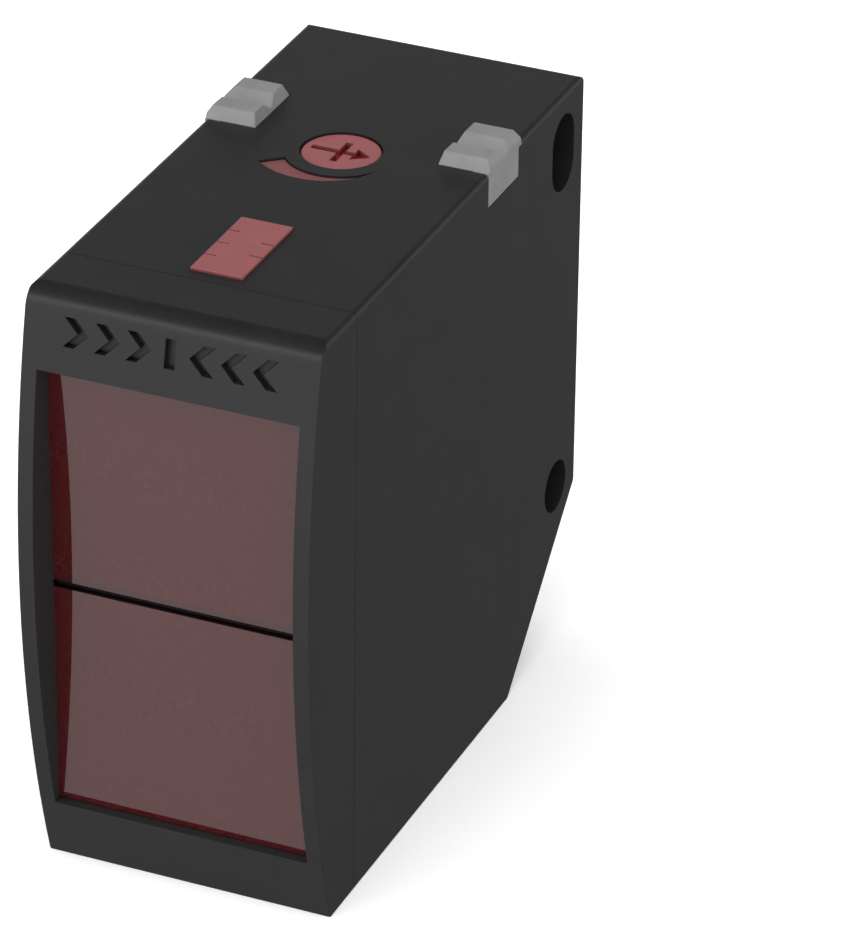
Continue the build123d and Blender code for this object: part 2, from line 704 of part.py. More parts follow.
def mounting_lug(side):
    """Lug with two ridges and a valley on top, a leg on the side and a press-in peg."""
    shoulder = LUG_TOP_Z - LUG_SHOULDER
    outline = [
        (LUG_Y0, LUG_SEAT_Z),
        (LUG_Y1, LUG_SEAT_Z),
        (LUG_Y1, shoulder),
        (LUG_Y1 - LUG_REAR_SLOPE, LUG_TOP_Z),
        (LUG_MID_Y + LUG_VALLEY_HALF, LUG_TOP_Z),
        (LUG_MID_Y, LUG_TOP_Z - LUG_VALLEY_DEPTH),
        (LUG_MID_Y - LUG_VALLEY_HALF, LUG_TOP_Z),
        (LUG_Y0 + LUG_FRONT_SLOPE, LUG_TOP_Z),
        (LUG_Y0, shoulder),
    ]
    lug = side_prism(outline, LUG_INNER_X, HALF_WIDTH)
    lug -= lug_side_bevel(HALF_WIDTH, -1, LUG_OUTER_BEVEL)
    lug -= lug_side_bevel(LUG_INNER_X, 1, LUG_INNER_BEVEL)
    ridges = [edge for edge in lug.edges() if edge.center().Z > shoulder + TOLERANCE]
    lug = chamfer(ridges, LUG_EDGE)
    leg_inner = HALF_WIDTH - LUG_LEG_THICKNESS
    leg_top = LUG_SEAT_Z + LUG_LEG_LAP
    lug += block(leg_inner, HALF_WIDTH, LUG_LEG_Y0, LUG_LEG_Y1, LUG_LEG_Z, leg_top)
    lug += rod_z(LUG_PEG_X, LUG_MID_Y, LUG_PEG_Z, LUG_SEAT_Z + JOIN, LUG_PEG_RADIUS)
    return lug if side > 0 else mirror(lug, about=Plane.YZ)


# ---------------------------------------------------------------- top controls
def tick_grooves():
    """Short scale lines cut into the light guide: three from one edge, two from the other."""
    middle = (GUIDE_Y0 + GUIDE_Y1) / 2
    grooves = []
    for side, rows in ((-1, LEFT_TICKS), (1, RIGHT_TICKS)):
        x0, x1 = sorted((side * (GUIDE_HALF + GUIDE_GAP), side * (GUIDE_HALF - TICK_LENGTH)))
        for row in rows:
            y0 = middle + row * TICK_PITCH - TICK_WIDTH / 2
            floor = GUIDE_TOP_Z - TICK_DEPTH
            grooves.append(block(x0, x1, y0, y0 + TICK_WIDTH, floor, GUIDE_TOP_Z + OVERCUT))
    return grooves


def indicator_window():
    """Red light guide: visible slab, glued base flange and a stem down to the lamps."""
    guide = block(
        -GUIDE_HALF, GUIDE_HALF, GUIDE_Y0, GUIDE_Y1, INNER_TOP - JOIN, GUIDE_TOP_Z
    )
    rim = [edge for edge in guide.edges() if edge.center().Z > GUIDE_TOP_Z - TOLERANCE]
    guide = chamfer(rim, GUIDE_BEVEL)
    guide += block(
        -GUIDE_FLANGE_HALF,
        GUIDE_FLANGE_HALF,
        GUIDE_Y0 - GUIDE_FLANGE_MARGIN,
        GUIDE_Y1 + GUIDE_FLANGE_MARGIN,
        INNER_TOP - GUIDE_FLANGE_MARGIN,
        INNER_TOP,
    )
    guide += block(
        -GUIDE_STEM_HALF,
        GUIDE_STEM_HALF,
        GUIDE_Y0 + GUIDE_STEM_HALF,
        GUIDE_Y1 - GUIDE_STEM_HALF,
        CONTROL_BOARD_TOP + GUIDE_LAMP_GAP,
        INNER_TOP - JOIN,
    )
    for groove in tick_grooves():
        guide -= groove
    return guide


def sensitivity_scale():
    """Red crescent in the cut-out, on a wider base glued under the top wall."""
    start_inset, end_inset = SCALE_END_INSETS
    visible = crescent(
        SCALE_INNER_RADIUS + SNUG,
        SCALE_OUTER_RADIUS - SNUG,
        SCALE_START + start_inset,
        SCALE_END - end_inset,
        INNER_TOP - JOIN,
        SCALE_TOP_Z,
    )
    base = crescent(
        SCALE_INNER_RADIUS,
        SCALE_OUTER_RADIUS + SCALE_FLANGE,
        SCALE_START - SCALE_FLANGE_ANGLE,
        SCALE_END,
        INNER_TOP - SCALE_FLANGE_HEIGHT,
        INNER_TOP,
    )
    return visible + base


def arrow_outline():
    """Arrow that points along +X from the knob's axis."""
    return [
        (-ARROW_REACH, KNOB_Y - ARROW_SHAFT_HALF),
        (ARROW_HEAD_BACK, KNOB_Y - ARROW_SHAFT_HALF),
        (ARROW_HEAD_BACK, KNOB_Y - ARROW_HEAD_HALF),
        (ARROW_REACH, KNOB_Y),
        (ARROW_HEAD_BACK, KNOB_Y + ARROW_HEAD_HALF),
        (ARROW_HEAD_BACK, KNOB_Y + ARROW_SHAFT_HALF),
        (-ARROW_REACH, KNOB_Y + ARROW_SHAFT_HALF),
    ]


def adjuster_knob():
    """Red head with arrow and cross slot, seal groove, retaining flange and drive blade."""
    flange_top = INNER_TOP - KNOB_FLANGE_HIGH
    flange_low = INNER_TOP - KNOB_FLANGE_LOW
    knob = rod_z(0, KNOB_Y, flange_top, KNOB_TOP_Z, KNOB_RADIUS)
    knob = chamfer(edges_along_circle(knob, KNOB_TOP_Z), KNOB_BEVEL)
    band_top = SEAL_BAND_Z + SEAL_BAND_HEIGHT
    band = rod_z(0, KNOB_Y, SEAL_BAND_Z, band_top, KNOB_FLANGE_RADIUS)
    knob -= band - rod_z(0, KNOB_Y, SEAL_BAND_Z, band_top, KNOB_NECK_RADIUS)
    floor = KNOB_TOP_Z - ARROW_DEPTH
    knob -= top_prism(arrow_outline(), floor, BODY_HEIGHT)
    knob -= block(
        -CROSS_BAR_HALF_WIDTH,
        CROSS_BAR_HALF_WIDTH,
        KNOB_Y - CROSS_BAR_HALF_LENGTH,
        KNOB_Y + CROSS_BAR_HALF_LENGTH,
        floor,
        BODY_HEIGHT,
    )
    knob += rod_z(0, KNOB_Y, flange_low, flange_top, KNOB_FLANGE_RADIUS)
    knob += block(
        -BLADE_HALF_LENGTH,
        BLADE_HALF_LENGTH,
        KNOB_Y - BLADE_HALF_WIDTH,
        KNOB_Y + BLADE_HALF_WIDTH,
        CONTROL_BOARD_TOP + BLADE_TIP,
        flange_low,
    )
    return knob


def adjuster_seal():
    """O-ring in the knob's groove."""
    centre_z = SEAL_BAND_Z + SEAL_BAND_HEIGHT / 2
    return Pos(0, KNOB_Y, centre_z) * Torus(SEAL_RING_RADIUS, SEAL_CORD_RADIUS)


def potentiometer_base():
    """Square trimmer body with a round well for its rotor."""
    top = CONTROL_BOARD_TOP + POT_HEIGHT
    base = block(
        -POT_HALF, POT_HALF, KNOB_Y - POT_HALF, KNOB_Y + POT_HALF, CONTROL_BOARD_TOP, top
    )
    return base - rod_z(0, KNOB_Y, CONTROL_BOARD_TOP + POT_FLOOR, top + OVERCUT, POT_WELL_RADIUS)


def potentiometer_rotor():
    """Round rotor with the slot that takes the knob's blade."""
    low = CONTROL_BOARD_TOP + ROTOR_LOW
    high = CONTROL_BOARD_TOP + ROTOR_HIGH
    rotor = rod_z(0, KNOB_Y, low, high, ROTOR_RADIUS)
    half_length = BLADE_HALF_LENGTH + BLADE_CLEAR
    half_width = BLADE_HALF_WIDTH + BLADE_CLEAR
    return rotor - block(
        -half_length,
        half_length,
        KNOB_Y - half_width,
        KNOB_Y + half_width,
        CONTROL_BOARD_TOP + ROTOR_SLOT_LOW,
        high + OVERCUT,
    )


# ---------------------------------------------------------------- optics
def optics_carrier():
    """Flange and two dark chambers, each with a lens seat and an aperture at its back."""
    carrier = block(-FLANGE_HALF, FLANGE_HALF, FRAME_STEP_Y, FLANGE_Y, *FLANGE_Z)
    carrier += block(
        -CARRIER_HALF, CARRIER_HALF, FLANGE_Y - JOIN, CARRIER_BACK_Y, CARRIER_Z0, CARRIER_Z1
    )
    half_width = LENS_HALF_WIDTH + CLEAR
    half_height = LENS_HALF_HEIGHT + CLEAR
    inner_half = half_width - LENS_SEAT
    inner_height = half_height - LENS_SEAT
    front = FRAME_STEP_Y - OVERCUT
    chamber_back = CARRIER_BACK_Y - CARRIER_BACK_WALL
    back = CARRIER_BACK_Y + OVERCUT
    for z in (EMITTER_Z, RECEIVER_Z):
        carrier -= block(
            -half_width, half_width, front, LENS_BACK_Y, z - half_height, z + half_height
        )
        carrier -= block(
            -inner_half, inner_half, front, chamber_back, z - inner_height, z + inner_height
        )
    carrier -= rod_y(0, EMITTER_Z, chamber_back - OVERCUT, back, EMITTER_APERTURE)
    carrier -= block(
        -RECEIVER_APERTURE,
        RECEIVER_APERTURE,
        chamber_back - OVERCUT,
        back,
        RECEIVER_Z - RECEIVER_APERTURE,
        RECEIVER_Z + RECEIVER_APERTURE,
    )
    for x, z in CARRIER_SCREWS:
        hole_radius = SCREW_RADIUS + CARRIER_SCREW_CLEAR
        carrier -= rod_y(x, z, front, FLANGE_Y + OVERCUT, hole_radius)
    for side in (-1, 1):
        x = side * PEG_X
        tip = FRAME_STEP_Y - FRONT_PEG_LENGTH
        carrier += rod_y(x, FRONT_PEG_Z, tip, FRAME_STEP_Y + JOIN, FRONT_PEG_RADIUS)
        peg_end = OPTICS_BOARD_BACK + BOARD_PEG_PROUD
        carrier += rod_y(x, BOARD_PEG_Z, CARRIER_BACK_Y - JOIN, peg_end, BOARD_PEG_RADIUS)
    return carrier


def lens(centre_z):
    """Plano-convex lens, curved to the front, cut square to fill its chamber."""
    low = centre_z - LENS_HALF_HEIGHT
    high = centre_z + LENS_HALF_HEIGHT
    body = block(-LENS_HALF_WIDTH, LENS_HALF_WIDTH, LENS_FRONT_Y, LENS_BACK_Y, low, high)
    return body & (Pos(0, LENS_FRONT_Y + LENS_RADIUS, centre_z) * Sphere(LENS_RADIUS))


def optics_board():
    """Upright board behind the carrier, with holes for its pegs and for the link pins."""
    front = OPTICS_BOARD_Y - OVERCUT
    back = OPTICS_BOARD_BACK + OVERCUT
    board = block(
        -OPTICS_BOARD_HALF,
        OPTICS_BOARD_HALF,
        OPTICS_BOARD_Y,
        OPTICS_BOARD_BACK,
        OPTICS_BOARD_Z0,
        OPTICS_BOARD_Z1,
    )
    for side in (-1, 1):
        board -= rod_y(side * PEG_X, BOARD_PEG_Z, front, back, BOARD_PEG_RADIUS + PEG_CLEAR)
    for z in optics_link_heights():
        board -= rod_y(LINK_X, z, front, back, LINK_HOLE_RADIUS)
    return board


def emitter_led():
    """Round lamp with a domed tip and a foot flange on the board."""
    tip = OPTICS_BOARD_Y - EMITTER_LENGTH
    lamp = rod_y(0, EMITTER_Z, tip, OPTICS_BOARD_Y, EMITTER_RADIUS)
    lamp += Pos(0, tip, EMITTER_Z) * Sphere(EMITTER_RADIUS)
    foot = OPTICS_BOARD_Y - EMITTER_FOOT
    return lamp + rod_y(0, EMITTER_Z, foot, OPTICS_BOARD_Y, EMITTER_FOOT_RADIUS)


def receiver_diode():
    """Square receiver package with a shallow window recess."""
    front = OPTICS_BOARD_Y - DIODE_HEIGHT
    low = RECEIVER_Z - DIODE_HALF
    high = RECEIVER_Z + DIODE_HALF
    package = block(-DIODE_HALF, DIODE_HALF, front, OPTICS_BOARD_Y, low, high)
    recess = front + DIODE_WINDOW_DEPTH
    return package - rod_y(0, RECEIVER_Z, front - OVERCUT, recess, DIODE_WINDOW_RADIUS)


def receiver_shield():
    """Thin metal can over the amplifier on the back of the optics board."""
    low, high = SHIELD_Z
    back = OPTICS_BOARD_BACK + SHIELD_DEPTH
    can = block(-SHIELD_HALF, SHIELD_HALF, OPTICS_BOARD_BACK, back, low, high)
    inner_half = SHIELD_HALF - SHIELD_SHEET
    return can - block(
        -inner_half,
        inner_half,
        OPTICS_BOARD_BACK - OVERCUT,
        back - SHIELD_SHEET,
        low + SHIELD_SHEET,
        high - SHIELD_SHEET,
    )


def amplifier_chip():
    """Small chip under the shield."""
    back = OPTICS_BOARD_BACK + AMPLIFIER_HEIGHT
    return block(-AMPLIFIER_HALF, AMPLIFIER_HALF, OPTICS_BOARD_BACK, back, *AMPLIFIER_Z)


# ---------------------------------------------------------------- boards and links
def optics_link_heights():
    """Heights of the pins between the optics board and the main board."""
    return [OPTICS_LINK_Z + LINK_PITCH * index for index in range(OPTICS_LINK_PINS)]


def board_link_places():
    """Depths of the pins between the main board and the control board."""
    return [BOARD_LINK_Y + LINK_PITCH * index for index in range(BOARD_LINK_PINS)]


def optics_link_pin(z):
    """One straight pin along Y."""
    x0 = LINK_X - LINK_PIN_HALF
    x1 = LINK_X + LINK_PIN_HALF
    return block(x0, x1, *OPTICS_PIN_Y, z - LINK_PIN_HALF, z + LINK_PIN_HALF)


def board_link_pin(y):
    """One straight pin along Z."""
    x0 = LINK_X - LINK_PIN_HALF
    x1 = LINK_X + LINK_PIN_HALF
    return block(x0, x1, y - LINK_PIN_HALF, y + LINK_PIN_HALF, *BOARD_PIN_Z)


def optics_link_header():
    """Plastic strip on the main board that holds the optics link pins."""
    low = optics_link_heights()[0] - STRIP_END
    high = optics_link_heights()[-1] + STRIP_END
    strip = block(MAIN_BOARD_FACE, MAIN_BOARD_FACE + STRIP_HEIGHT, *OPTICS_STRIP_Y, low, high)
    for z in optics_link_heights():
        strip -= optics_link_pin(z)
    return strip


def optics_link_pins():
    """All pins between the optics board and the main board, one solid each."""
    return Compound(children=[optics_link_pin(z) for z in optics_link_heights()])


def board_link_header():
    """Plastic strip on the main board that holds the control board's pins."""
    front = board_link_places()[0] - STRIP_END
    back = board_link_places()[-1] + STRIP_END
    strip = block(MAIN_BOARD_FACE, MAIN_BOARD_FACE + STRIP_HEIGHT, front, back, *BOARD_STRIP_Z)
    for y in board_link_places():
        strip -= board_link_pin(y)
    return strip


def board_link_pins():
    """All pins between the main board and the control board, one solid each."""
    return Compound(children=[board_link_pin(y) for y in board_link_places()])


def main_board():
    """Upright board on the left wall, its lower rear corner cut to follow the chamfer."""
    outline = [
        (MAIN_BOARD_Y0, MAIN_BOARD_Z0),
        (MAIN_BOARD_Y1 - MAIN_BOARD_CUT, MAIN_BOARD_Z0),
        (MAIN_BOARD_Y1, MAIN_BOARD_Z0 + MAIN_BOARD_CUT),
        (MAIN_BOARD_Y1, MAIN_BOARD_Z1),
        (MAIN_BOARD_Y0, MAIN_BOARD_Z1),
    ]
    board = side_prism(outline, MAIN_BOARD_X, MAIN_BOARD_FACE)
    for y, z in MAIN_SCREWS:
        board -= rod_x(y, z, MAIN_BOARD_X, MAIN_BOARD_FACE, SCREW_RADIUS + CLEAR)
    return board


def control_board():
    """Flat board under the top wall."""
    low = CONTROL_BOARD_Z
    high = CONTROL_BOARD_TOP
    board = block(
        -CONTROL_BOARD_HALF, CONTROL_BOARD_HALF, CONTROL_BOARD_Y0, CONTROL_BOARD_Y1, low, high
    )
    for x, y in CONTROL_SCREWS:
        board -= rod_z(x, y, low, high, SCREW_RADIUS + CLEAR)
    for y in board_link_places():
        board -= rod_z(LINK_X, y, low, high, LINK_HOLE_RADIUS)
    return board


def on_main_board(y0, y1, z0, z1, height):
    """Rectangular component on the inner face of the main board."""
    return block(MAIN_BOARD_FACE, MAIN_BOARD_FACE + height, y0, y1, z0, z1)


def processor_chip():
    """Square chip in the middle of the main board."""
    return on_main_board(*PROCESSOR_BOX)


def output_transistors():
    """Two power packages, each with its cooling tab."""
    y0, y1 = TRANSISTOR_Y
    packages = []
    for z in TRANSISTOR_ROWS:
        top = z + TRANSISTOR_SIDE
        body = on_main_board(y0, y1, z, top, TRANSISTOR_HEIGHT)
        tab = on_main_board(y1, y1 + TAB_LENGTH, z + TAB_INSET, top - TAB_INSET, TAB_HEIGHT)
        packages.append(body + tab)
    return Compound(children=packages)


def filter_capacitor():
    """Round can lying across the housing, with a bead near its foot."""
    y, z = CAPACITOR_PLACE
    can = rod_x(y, z, MAIN_BOARD_FACE, MAIN_BOARD_FACE + CAPACITOR_LENGTH, CAPACITOR_RADIUS)
    bead_start, bead_end, bead_depth = CAPACITOR_BEAD
    x0 = MAIN_BOARD_FACE + bead_start
    x1 = MAIN_BOARD_FACE + bead_end
    bead = rod_x(y, z, x0, x1, CAPACITOR_RADIUS + OVERCUT)
    return can - (bead - rod_x(y, z, x0, x1, CAPACITOR_RADIUS - bead_depth))


def board_resistors():
    """Chip resistors in a row on the main board and another on the control board."""
    length, width, height = RESISTOR_SIZE
    chips = []
    y, start = MAIN_RESISTOR_PLACE
    for index in range(MAIN_RESISTORS):
        z = start + MAIN_RESISTOR_PITCH * index
        chips.append(on_main_board(y, y + length, z, z + width, height))
    start, y = CONTROL_RESISTOR_PLACE
    top = CONTROL_BOARD_TOP
    for index in range(CONTROL_RESISTORS):
        x = start + CONTROL_RESISTOR_PITCH * index
        chips.append(block(x, x + length, y, y + width, top, top + height))
    return Compound(children=chips)


def indicator_leds():
    """Indicator lamps in a row under the light guide."""
    half_x, half_y = LAMP_HALF
    pitch = (GUIDE_Y1 - GUIDE_Y0) / (LAMP_COUNT + 1)
    top = CONTROL_BOARD_TOP + LAMP_HEIGHT
    lamps = []
    for row in range(1, LAMP_COUNT + 1):
        y = GUIDE_Y0 + row * pitch
        lamps.append(block(-half_x, half_x, y - half_y, y + half_y, CONTROL_BOARD_TOP, top))
    return Compound(children=lamps)


# ---------------------------------------------------------------- plug socket
def contact_places():
    """Contact centres in the socket's own plane."""
    places = []
    for index in range(CONTACT_COUNT):
        angle = pi / 4 + 2 * pi * index / CONTACT_COUNT
        places.append((CONTACT_CIRCLE * cos(angle), CONTACT_CIRCLE * sin(angle)))
    return places


def depth_rod(radius, near, far, x=0.0, y=0.0):
    """Cylinder in the socket's own frame, between two depths."""
    return Pos(x, y, (near + far) / 2) * Cylinder(radius, far - near)


def connector_shell():
    """Plated sleeve that lines the socket, with a snap groove near its mouth."""
    near, far = SLEEVE
    sleeve = depth_rod(SOCKET_RADIUS - SLEEVE_FIT, near, far) - depth_rod(SLEEVE_BORE, near, far)
    groove_near, groove_far, groove_depth = SLEEVE_GROOVE
    sleeve -= depth_rod(SLEEVE_BORE + groove_depth, groove_near, groove_far)
    mouth = edges_along_circle(sleeve, near)
    inner = [edge for edge in mouth if edge.radius < SLEEVE_BORE + TOLERANCE]
    return SOCKET_PLANE * chamfer(inner, SLEEVE_BEVEL)


def connector_insert():
    """Plastic contact carrier with a coding rib and a groove for its seal."""
    near = SLEEVE[1]
    body = depth_rod(SOCKET_RADIUS - INSERT_FIT, near, SOCKET_DEPTH)
    body += depth_rod(INSERT_TAIL_RADIUS, SOCKET_DEPTH - JOIN, INSERT_TAIL_END)
    groove_near, groove_far, groove_radius = INSERT_GROOVE
    groove = depth_rod(SOCKET_RADIUS, groove_near, groove_far)
    body -= groove - depth_rod(groove_radius, groove_near, groove_far)
    body += Pos(0, RIB_OFFSET, RIB_DEPTH) * Box(*RIB_SIZE)
    for x, y in contact_places():
        body -= depth_rod(CONTACT_RADIUS + CONTACT_FIT, near, INSERT_TAIL_END, x, y)
    return SOCKET_PLANE * body


def connector_pins():
    """Round contact pins with domed tips, one solid each."""
    near, far = CONTACT
    contacts = []
    for x, y in contact_places():
        contact = depth_rod(CONTACT_RADIUS, near, far, x, y)
        contact += Pos(x, y, near) * Sphere(CONTACT_RADIUS)
        contacts.append(SOCKET_PLANE * contact)
    return Compound(children=contacts)


def connector_seal():
    """O-ring round the contact carrier."""
    depth, ring_radius, cord_radius = SOCKET_SEAL
    return SOCKET_PLANE * (Pos(0, 0, depth) * Torus(ring_radius, cord_radius))


def connector_board():
    """Small round board on the ends of the contacts."""
    disc = depth_rod(SOCKET_BOARD_RADIUS, *SOCKET_BOARD)
    for x, y in contact_places():
        disc -= depth_rod(CONTACT_RADIUS + PEG_CLEAR, *SOCKET_BOARD, x, y)
    return SOCKET_PLANE * disc


def connector_flex():
    """Flat flexible strip from the small round board to a tab on the main board."""
    length = FLEX_START_X - MAIN_BOARD_FACE
    strip = Box(length, FLEX_WIDTH, FLEX_THICKNESS)
    strip = Pos(MAIN_BOARD_FACE + length / 2, 0, FLEX_DEPTH) * strip
    tab = Box(FLEX_THICKNESS, FLEX_WIDTH, FLEX_TAB_LENGTH)
    tab = Pos(MAIN_BOARD_FACE + FLEX_THICKNESS / 2, 0, FLEX_TAB_DEPTH) * tab
    return SOCKET_PLANE * (strip + tab)


# ---------------------------------------------------------------- fasteners
def board_screws():
    """Screws that hold the control board and the main board."""
    screws = []
    for x, y in CONTROL_SCREWS:
        screws.append(Pos(x, y, CONTROL_BOARD_Z) * screw(CONTROL_SCREW_LENGTH))
    for y, z in MAIN_SCREWS:
        screws.append(Pos(MAIN_BOARD_FACE, y, z) * Rot(0, -90, 0) * screw(MAIN_SCREW_LENGTH))
    return Compound(children=screws)


def carrier_screws():
    """Screws that pull the optics carrier, the gasket and the panes into the front frame."""
    screws = []
    for x, z in CARRIER_SCREWS:
        screws.append(Pos(x, FLANGE_Y, z) * Rot(90, 0, 0) * screw(CARRIER_SCREW_LENGTH))
    return Compound(children=screws)


# ---------------------------------------------------------------- assembly
NODES = {
    "rear_housing": rear_housing,
    "front_frame": front_frame,
    "housing_seal": housing_seal,
    "upper_window": upper_window,
    "lower_window": lower_window,
    "window_divider": window_divider,
    "window_gasket": window_gasket,
    "mounting_lug_right": lambda: mounting_lug(1),
    "mounting_lug_left": lambda: mounting_lug(-1),
    "indicator_window": indicator_window,
    "sensitivity_scale": sensitivity_scale,
    "adjuster_knob": adjuster_knob,
    "adjuster_seal": adjuster_seal,
    "potentiometer_base": potentiometer_base,
    "potentiometer_rotor": potentiometer_rotor,
    "optics_carrier": optics_carrier,
    "receiver_lens": lambda: lens(RECEIVER_Z),
    "emitter_lens": lambda: lens(EMITTER_Z),
    "optics_board": optics_board,
    "emitter_led": emitter_led,
    "receiver_diode": receiver_diode,
    "receiver_shield": receiver_shield,
    "amplifier_chip": amplifier_chip,
    "main_board": main_board,
    "control_board": control_board,
    "processor_chip": processor_chip,
    "output_transistors": output_transistors,
    "filter_capacitor": filter_capacitor,
    "board_resistors": board_resistors,
    "indicator_leds": indicator_leds,
    "optics_link_header": optics_link_header,
    "optics_link_pins": optics_link_pins,
    "board_link_header": board_link_header,
    "board_link_pins": board_link_pins,
    "connector_shell": connector_shell,
    "connector_insert": connector_insert,
    "connector_pins": connector_pins,
    "connector_seal": connector_seal,
    "connector_board": connector_board,
    "connector_flex": connector_flex,
    "board_screws": board_screws,
    "carrier_screws": carrier_screws,
}

os.makedirs("parts", exist_ok=True)
for name, make in NODES.items():
    export_step(make(), f"parts/{name}.step")
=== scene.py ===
import json
import math

import bpy
from mathutils import Matrix, Vector


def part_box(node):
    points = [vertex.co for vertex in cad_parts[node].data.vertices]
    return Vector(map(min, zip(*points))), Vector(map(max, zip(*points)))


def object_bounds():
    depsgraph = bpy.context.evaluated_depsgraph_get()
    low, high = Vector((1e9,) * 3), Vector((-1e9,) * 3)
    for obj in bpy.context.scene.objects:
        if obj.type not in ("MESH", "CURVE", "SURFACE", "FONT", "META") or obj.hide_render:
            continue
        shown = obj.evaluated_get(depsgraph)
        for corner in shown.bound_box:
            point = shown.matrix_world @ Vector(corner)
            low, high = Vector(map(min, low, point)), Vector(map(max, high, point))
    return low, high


# Photoelectric sensor, dressed around its CAD frame.  Metres, +Z up, -Y is the optical front.

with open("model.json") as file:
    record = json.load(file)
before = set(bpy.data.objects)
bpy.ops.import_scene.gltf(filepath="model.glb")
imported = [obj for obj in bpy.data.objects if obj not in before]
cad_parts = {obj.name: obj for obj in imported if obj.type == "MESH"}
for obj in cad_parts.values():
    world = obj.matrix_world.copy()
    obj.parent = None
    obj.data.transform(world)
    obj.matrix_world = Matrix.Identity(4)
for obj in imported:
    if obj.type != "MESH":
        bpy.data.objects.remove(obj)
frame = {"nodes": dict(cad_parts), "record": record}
cad_low, cad_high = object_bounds()
centre = (cad_low + cad_high) / 2

MM = 0.001

# ---------------------------------------------------------------- viewpoint
# Angles are in degrees.  An azimuth turns from the front (-Y) towards +X.
VIEW_AZIMUTH = 22.88
VIEW_ELEVATION = 29.18
VIEW_ROLL = 0.71
VIEW_DISTANCE = 0.4445
VIEW_LENS = 229.85
VIEW_OFFSET = Vector((10.138, -1.64, 2.736)) * MM       # aim point from the middle of the object

# ---------------------------------------------------------------- light
WORLD_PEAK = 1.5
# Brightness of the surround by height, from straight down (0) to straight up (1), as shares of the peak.
FRONT_GLOW = [(0.0, 0.22), (0.12, 0.35), (0.40, 0.81), (0.62, 0.85), (0.80, 0.35), (0.90, 0.02)]
REAR_GLOW = [
    (0.0, 0.10), (0.25, 0.12), (0.45, 0.30), (0.57, 0.62), (0.68, 0.12), (0.75, 0.06), (0.87, 0.02),
]
# The front glow gives way to the rear glow between these Y values of a unit direction.
REAR_START = -0.35
REAR_END = 0.45

LIGHT_DISTANCE = 1.0
# Angles as for the viewpoint, sizes in metres and power in watts.
SOFTBOXES = {
    "overhead_box": dict(azimuth=-20, elevation=78, width=1.6, height=1.6, power=18.0, mirrored=False),
    "side_box": dict(azimuth=95, elevation=15, width=1.0, height=1.0, power=4.5, mirrored=False),
    "front_strip": dict(azimuth=-25, elevation=38, width=0.8, height=0.22, power=1.8, mirrored=True),
}

FLOOR_HALF = 3.0
FLOOR_GLOW = 0.2

# ---------------------------------------------------------------- places on the object
# The walls of the front opening are matt out to these limits, measured from the panes' outer box.
WALL_SIDE = -0.43 * MM
WALL_TOP = -0.44 * MM
WALL_FOOT = -0.09 * MM
WALL_BLUR = 0.01 * MM

# The panes have painted shade: near-black in the groove between them, and darker along the upper pane's
# foot where the barrier lies behind.
PANE_CHAMFER = 0.06 * MM
CHAMFER_BLUR = 0.03 * MM
BARRIER_SHADE_HEIGHT = 0.5 * MM
BARRIER_SHADE_BLUR = 0.1 * MM

# Painted shade on the light guide: its colour turns between the scale's top and the knob's top, a hair
# inside both, and it turns again to a darker, deeper red in the engraved slots, between these depths
# below the scale's top.
SHADE_MARGIN = 0.01 * MM
SLOT_SHADE_TOP = 0.05 * MM
SLOT_SHADE_FOOT = 0.25 * MM

SHADE_ANGLE = math.radians(32)

# The Mix node's sockets for colours: its input and output lists hold those of all data types.
MIX_SHARE = 0
MIX_FIRST = 6
MIX_SECOND = 7
MIX_RESULT = 2


# ---------------------------------------------------------------- helpers
def direction(azimuth, elevation):
    """Unit vector that points away from the object at these angles in degrees."""
    turn = math.radians(azimuth)
    rise = math.radians(elevation)
    return Vector((math.sin(turn) * math.cos(rise), -math.cos(turn) * math.cos(rise), math.sin(rise)))


def scaled(colour, factor):
    return tuple(factor * channel for channel in colour)


